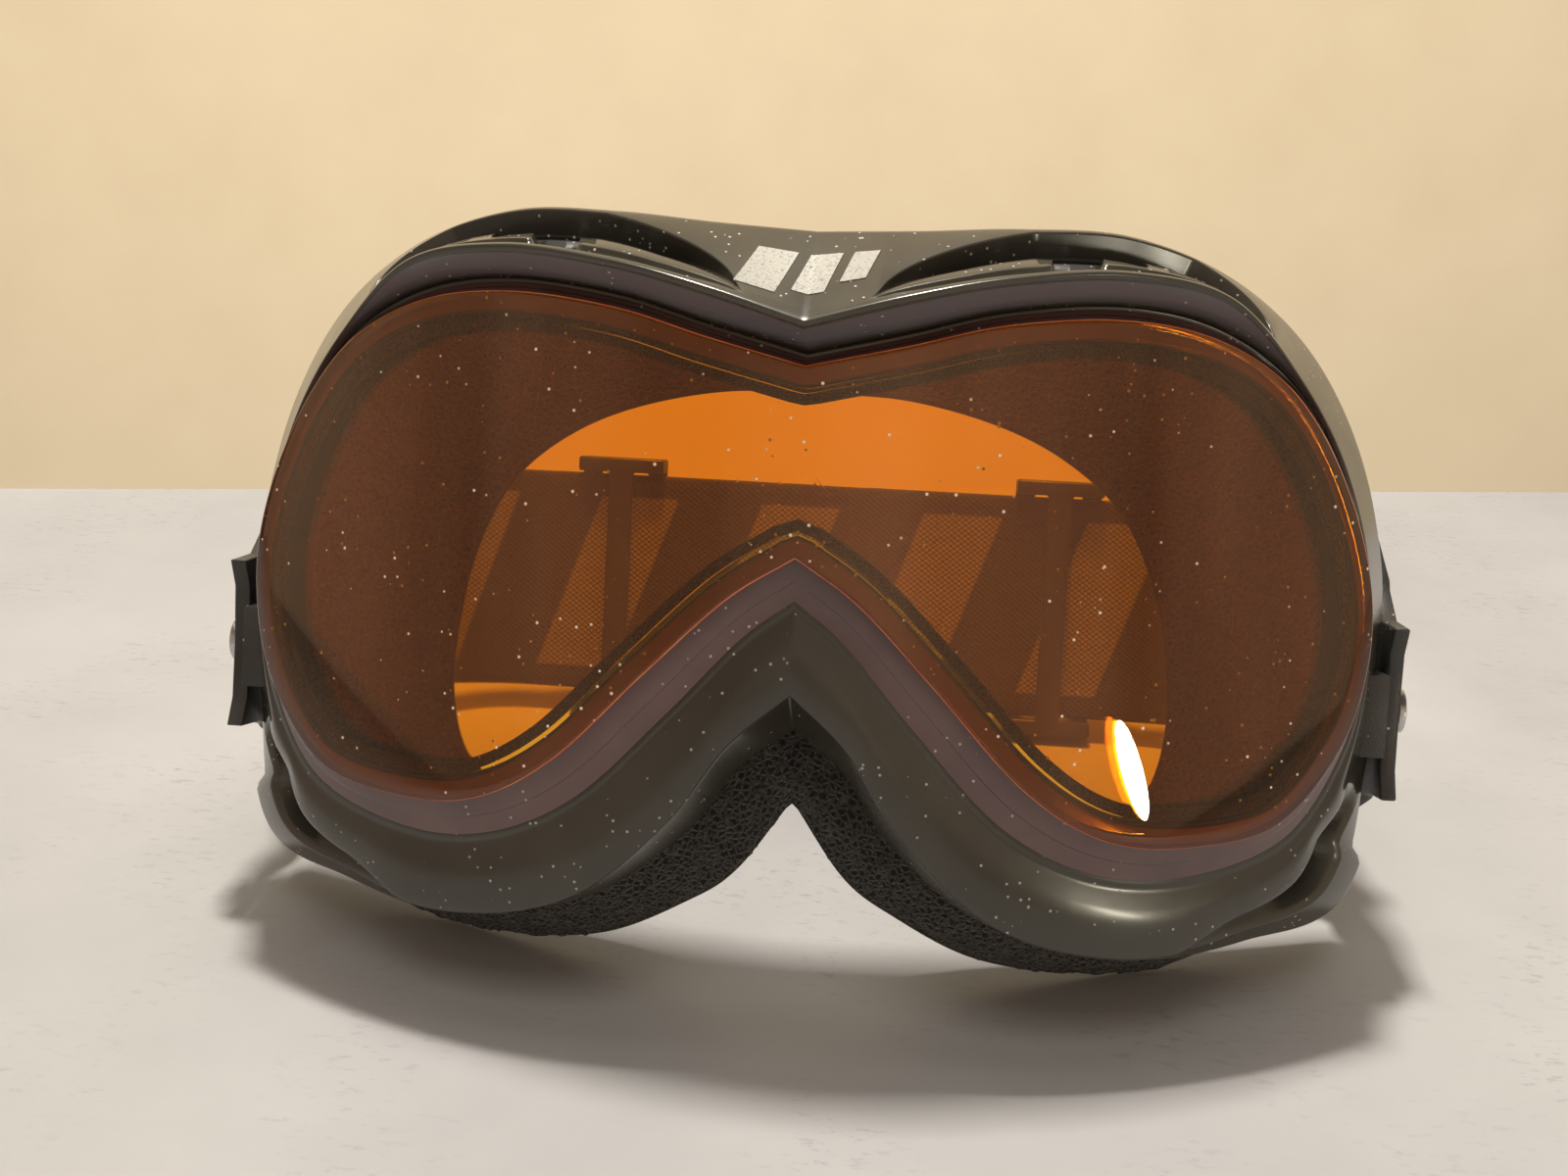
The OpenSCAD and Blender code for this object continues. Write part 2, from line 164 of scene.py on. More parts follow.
def moved(loop, out, back=0.0):
    """A loop moved outwards in x and z and rearwards; the loop runs clockwise seen from the front."""
    u = np.roll(loop, -1, 0)[:, :2] - np.roll(loop, 1, 0)[:, :2]
    u /= np.linalg.norm(u, axis=1)[:, None]
    res = loop.copy()
    res[:, 0] -= u[:, 1] * out
    res[:, 1] += u[:, 0] * out
    res[:, 2] += back
    return res


def at_depth(loop, depth):
    res = loop.copy()
    res[:, 2] = depth
    return res


def placed(loop):
    """[x, z, depth] as [x, y, z] in the goggle frame."""
    return np.stack([loop[:, 0], sag(loop[:, 0]) + loop[:, 2], loop[:, 1]], -1)


def between_loops(a, b, t):
    return a * (1 - t) + b * t


def ramp(x, low, high):
    """0 below low, 1 above high, and a smooth rise between them."""
    t = np.clip((np.asarray(x, float) - low) / (high - low), 0, 1)
    return t * t * (3 - 2 * t)


# ---------------------------------------------------------------- mesh helpers

def signed_volume(mesh):
    mesh.calc_loop_triangles()
    co = np.array([v.co[:] for v in mesh.vertices])
    tri = np.array([t.vertices[:] for t in mesh.loop_triangles])
    a, b, c = co[tri[:, 0]], co[tri[:, 1]], co[tri[:, 2]]
    return float(np.einsum("ij,ij->i", a, np.cross(b, c)).sum()) / 6


def new_object(name, verts, faces, material, shade_smooth=True, closed=True):
    mesh = bpy.data.meshes.new(name)
    mesh.from_pydata([tuple(v) for v in verts], [], faces)
    mesh.update()
    if shade_smooth:
        mesh.polygons.foreach_set("use_smooth", [True] * len(mesh.polygons))
    obj = bpy.data.objects.new(name, mesh)
    bpy.context.scene.collection.objects.link(obj)
    obj.data.materials.append(material)
    if closed and signed_volume(mesh) < 0:
        mesh.flip_normals()
    return obj


def rounded(loops, radii, k=3):
    """The section through the loops with each corner replaced by a small arc."""
    m = len(loops)
    out = []
    for j in range(m):
        p, a, b = loops[j], loops[j - 1] - loops[j], loops[(j + 1) % m] - loops[j]
        if radii[j] <= 0:
            out.append(p)
            continue
        la, lb = np.linalg.norm(a, axis=1) + 1e-9, np.linalg.norm(b, axis=1) + 1e-9
        start = p + a * (np.minimum(radii[j], 0.45 * la) / la)[:, None]
        end = p + b * (np.minimum(radii[j], 0.45 * lb) / lb)[:, None]
        for s in np.linspace(0, 1, k + 1):
            out.append((1 - s) ** 2 * start + 2 * s * (1 - s) * p + s ** 2 * end)
    return out


def filled(loops, pitch):
    """More loops between far ones, so that no section step is longer than about the pitch."""
    out = []
    m = len(loops)
    for j in range(m):
        a, b = loops[j], loops[(j + 1) % m]
        far = float(np.percentile(np.linalg.norm(b - a, axis=1), 80))
        n = max(1, int(round(far / pitch)))
        out += [a + (b - a) * (i / n) for i in range(n)]
    return out


def ring_object(name, loops, material):
    n, m = len(loops[0]), len(loops)
    verts = posed(np.vstack(loops))
    faces = []
    for j in range(m):
        j2 = (j + 1) % m
        for i in range(n):
            i2 = (i + 1) % n
            faces.append((j * n + i, j2 * n + i, j2 * n + i2, j * n + i2))
    return new_object(name, verts, faces, material)


def rides(obj, body, slot, *nodes):
    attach(obj, body)
    if nodes:
        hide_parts(*nodes)
    return obj


# ---------------------------------------------------------------- materials

class Nodes:
    """A small helper that makes and links shader nodes."""

    def __init__(self, name):
        self.mat = bpy.data.materials.new(name)
        self.mat.use_nodes = True
        self.tree = self.mat.node_tree
        self.bsdf = self.tree.nodes["Principled BSDF"]
        self.coords = self.tree.nodes.new("ShaderNodeTexCoord")

    def add(self, kind, **settings):
        node = self.tree.nodes.new("ShaderNode" + kind)
        for key, value in settings.items():
            if key in node.inputs:
                node.inputs[key].default_value = value
            else:
                setattr(node, key, value)
        return node

    def link(self, a, b):
        self.tree.links.new(a, b)

    def scaled(self, scale):
        m = self.add("Mapping")
        m.inputs["Scale"].default_value = scale if isinstance(scale, tuple) else (scale,) * 3
        self.link(self.coords.outputs["Object"], m.inputs["Vector"])
        return m.outputs["Vector"]

    def noise(self, scale, detail=3.0, rough=0.55):
        t = self.add("TexNoise", Detail=detail, Roughness=rough)
        t.inputs["Scale"].default_value = 1.0
        self.link(self.scaled(scale), t.inputs["Vector"])
        return t.outputs["Fac"]

    def voronoi(self, scale, feature="F1"):
        t = self.add("TexVoronoi")
        t.feature = feature
        t.inputs["Scale"].default_value = 1.0
        self.link(self.scaled(scale), t.inputs["Vector"])
        return t.outputs["Distance"]

    def curve(self, value, low, high, to_low=0.0, to_high=1.0):
        m = self.add("MapRange")
        m.inputs["From Min"].default_value = low
        m.inputs["From Max"].default_value = high
        m.inputs["To Min"].default_value = to_low
        m.inputs["To Max"].default_value = to_high
        self.link(value, m.inputs["Value"])
        return m.outputs["Result"]

    def maths(self, op, a, b):
        m = self.add("Math")
        m.operation = op
        for i, v in enumerate((a, b)):
            if isinstance(v, (int, float)):
                m.inputs[i].default_value = v
            else:
                self.link(v, m.inputs[i])
        return m.outputs[0]

    def mix(self, fac, a, b):
        m = self.add("Mix")
        m.data_type = "RGBA"
        self.link(fac, m.inputs["Factor"])
        for socket, v in ((m.inputs[6], a), (m.inputs[7], b)):
            if isinstance(v, tuple):
                socket.default_value = (*v, 1.0)
            else:
                self.link(v, socket)
        return m.outputs[2]

    def attribute(self, name):
        a = self.add("Attribute")
        a.attribute_name = name
        return a.outputs["Fac"]

    def bump(self, height, distance, strength=1.0, after=None):
        b = self.add("Bump")
        b.inputs["Distance"].default_value = distance
        b.inputs["Strength"].default_value = strength
        self.link(height, b.inputs["Height"])
        if after:
            self.link(after, b.inputs["Normal"])
        return b.outputs["Normal"]

    def set(self, **values):
        for key, value in values.items():
            socket = self.bsdf.inputs[key.replace("_", " ")]
            if isinstance(value, bpy.types.NodeSocket):
                self.link(value, socket)
            elif isinstance(value, tuple) and len(value) == 3:
                socket.default_value = (*value, 1.0)
            else:
                socket.default_value = value
        return self.mat


def specks(m, scale, share, seed_scale=1.0):
    """White dust specks: 1 on a speck, 0 elsewhere. The share is a radius in cell units."""
    dots = m.curve(m.voronoi(scale * seed_scale), share, share * 0.55)
    keep = m.curve(m.noise(scale * 0.21, 2.0), 0.52, 0.56)
    return m.maths("MULTIPLY", dots, keep)


def frame_material():
    m = Nodes("gloss_frame")
    dust = m.maths("MAXIMUM", specks(m, 620, 0.16), specks(m, 330, 0.09, 1.1))
    haze = m.curve(m.noise(38, 4.0), 0.35, 0.75, 0.0, 1.0)
    tone = m.mix(haze, (0.030, 0.027, 0.020), (0.048, 0.044, 0.033))
    # painted shade: the scoops and recesses darkened towards near black by their depth
    painted_scoop_shade = m.attribute("painted_scoop_shade")
    tone = m.mix(painted_scoop_shade, tone, (0.004, 0.004, 0.004))
    # painted reflection: a paler blue-grey band on the upper brim, for the table that its bevel mirrors
    tone = m.mix(m.attribute("painted_bevel_reflection"), tone, (0.115, 0.115, 0.13))
    colour = m.mix(dust, tone, (0.42, 0.40, 0.36))
    rough = m.curve(haze, 0, 1, 0.2, 0.3)
    rough = m.maths("MAXIMUM", rough, m.maths("MULTIPLY", dust, 0.8))
    rough = m.maths("MAXIMUM", rough, m.maths("MULTIPLY", painted_scoop_shade, 0.6))
    ripple = m.bump(m.noise(90, 2.0), 0.0002, 0.25)
    return m.set(Base_Color=colour, Roughness=rough, Normal=m.bump(dust, 0.0001, 0.5, ripple),
                 Coat_Weight=0.25, Coat_Roughness=0.12, IOR=1.5)


def plastic_material(name, base, rough):
    m = Nodes(name)
    grain = m.voronoi(2600)
    tone = m.mix(m.curve(m.noise(120, 4.0), 0.3, 0.7), base, tuple(c * 1.5 for c in base))
    dust = specks(m, 520, 0.14)
    return m.set(Base_Color=m.mix(dust, tone, (0.4, 0.38, 0.35)),
                 Roughness=m.curve(m.noise(300, 3.0), 0.3, 0.7, rough - 0.05, rough + 0.08),
                 Normal=m.bump(grain, 0.00008, 0.4))


def lens_material(name, tint, dusty):
    m = Nodes(name)
    if dusty:
        dust = m.maths("MAXIMUM", specks(m, 420, 0.12), specks(m, 240, 0.07, 1.2))
        tint_out = m.mix(dust, tint, (0.9, 0.85, 0.8))
        rough = m.curve(m.noise(26, 4.0), 0.45, 0.8, 0.0, 0.05)
        rough = m.maths("MAXIMUM", rough, m.maths("MULTIPLY", dust, 0.9))
        return m.set(Base_Color=tint_out, Roughness=rough,
                     Transmission_Weight=m.maths("SUBTRACT", 1.0, dust), IOR=1.58)
    rough = m.curve(m.noise(30, 3.0), 0.4, 0.8, 0.0, 0.05)
    return m.set(Base_Color=tint, Roughness=rough, Transmission_Weight=1.0, IOR=1.5)


def edge_glow_material():
    # painted glow: the lens's rounded edge is an opaque orange-red, brighter than the lens's tint, for the
    # light the lens gathers and brings out at its edge
    m = Nodes("lens_edge_glow")
    tone = m.mix(m.curve(m.noise(200, 3.0), 0.3, 0.7), (0.75, 0.16, 0.05), (0.9, 0.30, 0.12))
    return m.set(Base_Color=tone, Roughness=0.25, Subsurface_Weight=0.3, Subsurface_Scale=0.002, IOR=1.58)


def rim_material():
    m = Nodes("tinted_rim")
    haze = m.curve(m.noise(60, 3.0), 0.35, 0.7)
    dust = specks(m, 500, 0.13)
    tone = m.mix(haze, (0.075, 0.036, 0.036), (0.11, 0.056, 0.056))
    return m.set(Base_Color=m.mix(dust, tone, (0.4, 0.36, 0.34)), Roughness=m.curve(haze, 0, 1, 0.12, 0.24),
                 Coat_Weight=0.5, Coat_Roughness=0.08, IOR=1.58)


def foam_material(name, cell, dark, light):
    m = Nodes(name)
    cells = m.voronoi(cell, "DISTANCE_TO_EDGE")
    walls = m.curve(cells, 0.0, 0.28, 1.0, 0.0)
    fine = m.noise(cell * 2.3, 3.0)
    height = m.maths("ADD", walls, m.maths("MULTIPLY", fine, 0.4))
    tone = m.mix(m.maths("MULTIPLY", walls, m.curve(fine, 0.3, 0.7)), dark, light)
    return m.set(Base_Color=tone, Roughness=0.95, Normal=m.bump(height, 0.0006, 0.9),
                 Sheen_Weight=0.15, Specular_IOR_Level=0.3)


def fleece_material():
    m = Nodes("fleece")
    fuzz = m.noise(2400, 4.0, 0.7)
    tone = m.mix(m.curve(m.noise(180, 4.0), 0.3, 0.7), (0.012, 0.012, 0.014), (0.03, 0.03, 0.034))
    return m.set(Base_Color=tone, Roughness=0.97, Sheen_Weight=0.5, Sheen_Roughness=0.6,
                 Normal=m.bump(fuzz, 0.0003, 0.8))


def webbing_material():
    """Woven elastic: lengthwise cords crossed by picks, with broad slanted bars in a lighter yarn."""
    m = Nodes("woven_elastic")
    sep = m.add("SeparateXYZ")
    m.link(m.coords.outputs["UV"], sep.inputs[0])
    u, v = sep.outputs[0], sep.outputs[1]
    cords = m.maths("SINE", m.maths("MULTIPLY", v, 2 * math.pi * 900), 0)
    picks = m.maths("SINE", m.maths("MULTIPLY", u, 2 * math.pi * 700), 0)
    weave = m.maths("MULTIPLY", cords, picks)
    slant = m.maths("ADD", u, m.maths("MULTIPLY", v, 0.35))
    phase = m.maths("FRACT", m.maths("MULTIPLY", slant, 1 / 0.034), 0)
    bar = m.maths("MULTIPLY", m.curve(phase, 0.30, 0.32), m.curve(phase, 0.80, 0.78))
    edge = m.maths("MULTIPLY", m.curve(v, 0.0045, 0.005), m.curve(v, 0.0415, 0.041))
    bar = m.maths("MULTIPLY", bar, edge)
    dark = m.mix(m.curve(weave, -0.3, 0.6), (0.012, 0.010, 0.010), (0.035, 0.030, 0.028))
    light = m.mix(m.curve(weave, -0.3, 0.6), (0.10, 0.085, 0.08), (0.34, 0.30, 0.28))
    worn = m.curve(m.noise(300, 4.0), 0.3, 0.75, 0.75, 1.0)
    tone = m.mix(m.maths("MULTIPLY", bar, worn), dark, light)
    height = m.maths("ADD", m.maths("MULTIPLY", weave, 0.5), m.maths("MULTIPLY", bar, 0.5))
    return m.set(Base_Color=tone, Roughness=0.85, Sheen_Weight=0.25, Normal=m.bump(height, 0.00015, 0.8))


def thread_material():
    m = Nodes("stitch_thread")
    twist = m.noise((900, 900, 2600), 2.0)
    return m.set(Base_Color=m.mix(twist, (0.10, 0.09, 0.085), (0.35, 0.32, 0.30)), Roughness=0.7,
                 Normal=m.bump(twist, 0.0001, 0.7))


def steel_material():
    m = Nodes("turned_pin")
    rings = m.noise((300, 2500, 2500), 2.0)
    return m.set(Base_Color=m.mix(rings, (0.40, 0.40, 0.42), (0.62, 0.62, 0.63)), Metallic=1.0,
                 Roughness=m.curve(rings, 0.2, 0.8, 0.22, 0.42), Normal=m.bump(rings, 0.00004, 0.4))


def silver_print_material():
    m = Nodes("silver_print")
    flake = m.noise(1500, 4.0, 0.75)
    chips = m.curve(m.noise(2600, 3.0, 0.75), 0.36, 0.46)
    tone = m.mix(chips, (0.10, 0.10, 0.09), (0.29, 0.285, 0.26))
    return m.set(Base_Color=tone, Metallic=0.35, Roughness=m.curve(flake, 0.2, 0.8, 0.35, 0.65),
                 Normal=m.bump(flake, 0.00006, 0.7))


def floor_material():
    m = Nodes("pale_floor")
    mottle = m.curve(m.noise(9, 6.0, 0.6), 0.3, 0.75)
    fleck = m.curve(m.noise((240, 620, 300), 4.0, 0.7), 0.56, 0.64)
    fleck = m.maths("MULTIPLY", fleck, m.curve(m.noise(21, 3.0), 0.45, 0.62))
    tone = m.mix(mottle, (0.33, 0.33, 0.34), (0.42, 0.42, 0.43))
    return m.set(Base_Color=m.mix(m.maths("MULTIPLY", fleck, 0.55), tone, (0.24, 0.24, 0.26)),
                 Roughness=0.6, Specular_IOR_Level=0.3)


def room_material():
    m = Nodes("far_room")
    patches = m.curve(m.noise((1.3, 1.3, 0.8), 2.0), 0.35, 0.65)
    tone = m.mix(patches, (0.34, 0.27, 0.21), (0.62, 0.53, 0.44))
    return m.set(Base_Color=tone, Roughness=0.9, Emission_Color=tone, Emission_Strength=0.52)


def wall_material():
    m = Nodes("cream_wall")
    tone = m.mix(m.curve(m.noise(12, 4.0), 0.3, 0.7), (0.80, 0.66, 0.45), (0.84, 0.70, 0.48))
    return m.set(Base_Color=tone, Roughness=0.9, Emission_Color=tone, Emission_Strength=0.42)


FRAME_MAT = frame_material()
HARD_MAT = plastic_material("grained_plastic", (0.022, 0.022, 0.021), 0.38)
OUTER_LENS_MAT = lens_material("amber_lens", (0.98, 0.43, 0.015), True)
INNER_LENS_MAT = lens_material("pale_amber_lens", (1.0, 0.70, 0.20), False)
EDGE_GLOW_MAT = edge_glow_material()
RIM_MAT = rim_material()
FOAM_MAT = foam_material("open_cell_foam", 900, (0.008, 0.008, 0.008), (0.11, 0.105, 0.10))
VENT_MAT = foam_material("vent_foam", 900, (0.02, 0.018, 0.016), (0.16, 0.13, 0.10))
SPACER_MAT = foam_material("spacer_foam", 1800, (0.010, 0.008, 0.008), (0.04, 0.03, 0.03))
FLEECE_MAT = fleece_material()
WEB_MAT = webbing_material()
THREAD_MAT = thread_material()
STEEL_MAT = steel_material()
PRINT_MAT = silver_print_material()

# ---------------------------------------------------------------- the moulded frame

STEPS = 20
bezel = smooth(BEZEL, STEPS)
rear = smooth(REAR_EDGE, STEPS)
lens = smooth(LENS_EDGE, STEPS)
rim = smooth(RIM_EDGE, STEPS)
foot = smooth(BRIM_FOOT, STEPS)
inner_front = smooth(INNER_FRONT, STEPS)
pad = smooth(PAD_EDGE, STEPS)
opening = smooth(PAD_OPENING, STEPS)

FLANGE_REACH = 11.0
FLANGE_DEPTH = 3          # how far the rear flange stands behind the rear edge
FLANGE_FRONT = 0.8        # where its front side lies, behind the rear edge
WALL = 2.6
SEAT_INSET = -3.2         # the lens seat's opening, inside the lens's edge
SEAT_DEPTHS = (4.6, 7)
ARC_STEPS = 3             # steps in the arc that rounds each corner of the section
BEZEL_DRAW, TIP_DRAW = 2.8, 2.4
# eight loops across the outer wall: how far each lies from the bezel (0) to the rear edge (1), and how deep
PLAIN_U = (0.1, 0.2, 0.32, 0.42, 0.54, 0.64, 0.8, 0.9)
SCOOP_U = (0.10, 0.15, 0.27, 0.31, 0.50, 0.535, 0.90, 0.925)
RECESS_U = (0.06, 0.10, 0.20, 0.28, 0.38, 0.46, 0.54, 0.60)
SCOOP_DEPTH, SLOT_DEPTH = 4.4, 2.2
SCOOP_D = (0, 1.5, 1.5, 0.7, 0.9, SCOOP_DEPTH, 4.2, 0)
RECESS_D = (0, 2.6, 3.8, 4.2, 4.2, 3.4, 0.9, 0)


def corner_loops():
    """The bezel drawn in and the rear flange drawn out to a stepped tip at the lower corners."""
    x, z = np.abs(bezel[:, 0]), bezel[:, 1]
    draw_in = ramp(x, 58, 70) * ramp(-z, 34, 42) * BEZEL_DRAW
    front = bezel + (moved(bezel, -1) - bezel) * draw_in[:, None]
    x, z = np.abs(rear[:, 0]), rear[:, 1]
    draw_out = ramp(x, 72, 87) * ramp(-z, 43.5, 46) * TIP_DRAW
    back = rear + (moved(rear, 1) - rear) * draw_out[:, None]
    return front, back


def outer_wall(front, back):
    """The loops from the bezel to the rear edge, and how deep each is sunk.

    The brow scoops sink them above and the recesses at the corners sink them below. The third result is
    how far the inner side moves in to make room for them."""
    b, r = placed(front), placed(back)
    along = np.roll(b + r, -1, 0) - np.roll(b + r, 1, 0)
    across = r - b
    out = np.cross(along, across)
    out /= np.linalg.norm(out, axis=1)[:, None]
    flip = np.sign((out * (b * (1, 0, 1) + (0, 0, 5))).sum(1))
    out *= flip[:, None]
    x, z = np.abs(b[:, 0]), b[:, 2]
    top, low = ramp(z, 12, 26), ramp(-z, 30, 40)
    share = np.minimum(np.sqrt(np.clip((x - 9.5) / 20, 0, 1)), np.sqrt(np.clip((66 - x) / 12, 0, 1)))
    share = np.clip(share, 0.04, 1)
    deep = np.clip((share - 0.04) * 1.4, 0, 1)
    notch = ramp(x, 33.2, 33.9) * (1 - ramp(x, 39.6, 40.3))
    groove = ramp(x, 56, 70) * (1 - ramp(x, 85.5, 88.5)) * low
    slot = ramp(x, 72.5, 73.5) * (1 - ramp(x, 83, 84)) * low
    loops, depths = [], []
    for i in range(len(PLAIN_U)):
        u = PLAIN_U[i] * (1 - top) * (1 - low)
        u = u + top * (SCOOP_U[0] + (SCOOP_U[i] - SCOOP_U[0]) * share) + low * RECESS_U[i]
        d = top * deep * SCOOP_D[i] + groove * RECESS_D[i]
        if i in (3, 4):
            d = d + top * notch * (SCOOP_DEPTH - SCOOP_D[i])
        if i in (2, 3, 4, 5):
            d = d + slot * groove * SLOT_DEPTH
        loops.append(b + across * u[:, None] - out * d[:, None])
        depths.append(np.clip(d / SCOOP_DEPTH, 0, 1))
    inner_push = top * deep * 2.4 + groove * 4.5
    return loops, depths, inner_push


def make_frame():
    """The frame as one ring: brim, outer wall, rear flange and inner side, with the vents cut through."""
    front, back = corner_loops()
    walls, depths, inner_push = outer_wall(front, back)
    lowness = ramp(-bezel[:, 1], -10, 10)
    middle = (foot + front) / 2
    middle[:, 2] -= 0.8 * lowness
    seat = moved(lens, SEAT_INSET)
    corner = moved(rear, -WALL, FLANGE_FRONT)
    inward = moved(corner, -1) - corner
    corner = corner + inward * inner_push[:, None]
    front_in = inner_front + (moved(inner_front, -1) - inner_front) * (inner_push * 0.6)[:, None]
    seat_front, seat_back = SEAT_DEPTHS
    brim = [at_depth(seat, seat_front), at_depth(moved(rim, 0.5), seat_front), foot, middle, front]
    flange = [back, moved(back, 0, FLANGE_DEPTH), moved(rear, -FLANGE_REACH, FLANGE_DEPTH),
              moved(rear, -FLANGE_REACH, FLANGE_FRONT)]
    inside = [corner, front_in, at_depth(seat, seat_back)]
    loops = [*map(placed, brim), *walls, *map(placed, flange + inside)]
    radii = [0.4, 0.3, 0.8, 3.0, 1.4]                           # the brim
    radii += [0.3, 0.5, 0.4, 0.25, 0.25, 0.4, 0.5, 0.3]         # the outer wall
    radii += [0.9, 0.5, 0.4, 0.4, 1.2, 1.2, 0.4]                # the flange and the inner side
    section = rounded(loops, radii, ARC_STEPS)
    obj = ring_object("moulded_frame", section, FRAME_MAT)
    # for the material: painted shade, by how deep each vertex lies in a scoop or recess, and a painted
    # reflection of the table, the paler blue-grey band on the upper brim
    n = len(bezel)
    zero = np.zeros(n)
    high = ramp(bezel[:, 1], 2, 14)
    painted_shade_share = [np.clip((d - 0.55) / 0.45, 0, 1) for d in depths]
    per_loop = {"painted_scoop_shade": [zero] * len(brim) + painted_shade_share + [zero] * len(flange + inside),
                "painted_bevel_reflection": [zero] * 2 + [high * 0.8, high] + [zero] * (len(loops) - 4)}
    for word, shares in per_loop.items():
        flat = np.concatenate([shares[j] for j in range(len(loops)) for _ in range(ARC_STEPS + 1)])
        attribute = obj.data.attributes.new(word, "FLOAT", "POINT")
        attribute.data.foreach_set("value", flat.astype(np.float32))
    cut_vents(obj)
    return rides(obj, "frame", "frame", "frame_shell")


VENT_X = (24, 34, 44, 54)
VENT_Z, VENT_DEPTH = 44.5, 4.6
VENT_TILT = math.radians(27)
VENT_LONG, VENT_WIDE, VENT_CUT = 7, 2.6, 20


def slot_cutter(place, turn, long, wide, deep):
    """A bar with rounded ends, long across x, cutting along z; place in the goggle frame."""
    bm = bmesh.new()
    ends = []
    for side in (1, -1):
        for a in np.linspace(-math.pi / 2, math.pi / 2, 9):
            ends.append((side * ((long - wide) / 2 + wide / 2 * math.cos(a)), side * wide / 2 * math.sin(a)))
    low = [bm.verts.new((x, y, -deep / 2)) for x, y in ends]
    high = [bm.verts.new((x, y, deep / 2)) for x, y in ends]
    bm.faces.new(low[::-1])
    bm.faces.new(high)
    for k in range(len(ends)):
        n = (k + 1) % len(ends)
        bm.faces.new((low[k], low[n], high[n], high[k]))
    for v in bm.verts:
        v.co = posed_one(*(turn @ v.co + Vector(place)))
    bmesh.ops.recalc_face_normals(bm, faces=bm.faces)
    mesh = bpy.data.meshes.new("cutter")
    bm.to_mesh(mesh)
    bm.free()
    return mesh


def cut_vents(obj):
    """Slots through the floor of each brow scoop."""
    turn = Matrix.Rotation(VENT_TILT, 3, "X")
    cutters = []
    for side in (-1, 1):
        for x in VENT_X:
            place = (side * x, float(sag(x)) + VENT_DEPTH, VENT_Z)
            cutters.append(slot_cutter(place, turn, VENT_LONG, VENT_WIDE, VENT_CUT))
    bm = bmesh.new()
    for mesh in cutters:
        bm.from_mesh(mesh)
        bpy.data.meshes.remove(mesh)
    joined = bpy.data.meshes.new("cutters")
    bm.to_mesh(joined)
    bm.free()
    tool = bpy.data.objects.new("cutters", joined)
    bpy.context.scene.collection.objects.link(tool)
    cut = obj.modifiers.new("vents", "BOOLEAN")
    cut.operation = "DIFFERENCE"
    cut.solver = "MANIFOLD"
    cut.object = tool
    bpy.context.view_layer.update()
    result = bpy.data.meshes.new_from_object(obj.evaluated_get(bpy.context.evaluated_depsgraph_get()))
    obj.modifiers.remove(cut)
    bpy.data.objects.remove(tool)
    # a failed cut gives an empty or a broken mesh, and the frame then keeps its uncut one
    if len(result.polygons) > len(obj.data.polygons) // 2:
        obj.data = result
    else:
        print("the vents were not cut")


make_frame()

# ---------------------------------------------------------------- lenses, spacer and rim


LENS_T = 2.2
INNER_LENS_DEPTH, INNER_LENS_T = 4.6, 1.2
PLATE_CENTRE = np.array([0.0, 14.0])   # where a plate's rings shrink to, in x and z
PLATE_RINGS = 26
PLATE_ROUNDING = 0.45


def on_cylinder(points, depth):
    """Points (x, z) placed on the cylinder that lies evenly behind the lens's front."""
    r = LENS_CURVE - depth
    return np.stack([points[:, 0], LENS_CURVE - np.sqrt(r * r - points[:, 0] ** 2), points[:, 1]], -1)


def plate_object(name, outline, front, thickness, material, edge_mat=None):
    """A curved plate cut to an outline, with rounded edges, on exact cylinders behind the lens curve."""
    centre = PLATE_CENTRE
    n = len(outline)
    flat = outline[:, :2]
    loops, edge_loops = [], []
    inset = moved(outline, -PLATE_ROUNDING)[:, :2]
    steps = np.linspace(0, 1, PLATE_RINGS + 1)[1:] ** 0.8
    for s in steps:
        loops.append(on_cylinder(centre + (inset - centre) * s, front))
    for s in np.linspace(0, 1, 7)[1:]:
        angle = math.pi * s
        reach = math.sin(angle)
        across = (1 - math.cos(angle)) / 2
        loops.append(on_cylinder(inset + (flat - inset) * reach, front + thickness * across))
        edge_loops.append(len(loops) - 1)
    for s in steps[::-1][1:]:
        loops.append(on_cylinder(centre + (inset - centre) * s, front + thickness))
    middle_front = on_cylinder(centre[None], front)[0]
    middle_back = on_cylinder(centre[None], front + thickness)[0]
    verts = [middle_front, *np.vstack(loops), middle_back]
    faces, mats = [], []
    m = len(loops)
    for i in range(n):
        faces.append((0, 1 + i, 1 + (i + 1) % n))
        mats.append(0)
    for j in range(m - 1):
        for i in range(n):
            i2 = (i + 1) % n
            faces.append((1 + j * n + i, 1 + (j + 1) * n + i, 1 + (j + 1) * n + i2, 1 + j * n + i2))
            mats.append(1 if edge_mat and j + 1 in edge_loops[1:] else 0)
    last = len(verts) - 1
    for i in range(n):
        faces.append((last, 1 + (m - 1) * n + (i + 1) % n, 1 + (m - 1) * n + i))
        mats.append(0)
    obj = new_object(name, posed(np.array(verts)), faces, material)
    # the rounded edge faces get the painted edge glow
    if edge_mat:
        obj.data.materials.append(edge_mat)
        obj.data.polygons.foreach_set("material_index", mats)
    return obj


rides(plate_object("amber_outer_lens", lens, 0, LENS_T, OUTER_LENS_MAT, EDGE_GLOW_MAT),
      "frame", "outer_lens", "outer_lens")
rides(plate_object("pale_inner_lens", moved(lens, -3.8), INNER_LENS_DEPTH, INNER_LENS_T, INNER_LENS_MAT),
      "frame", "inner_lens", "inner_lens")


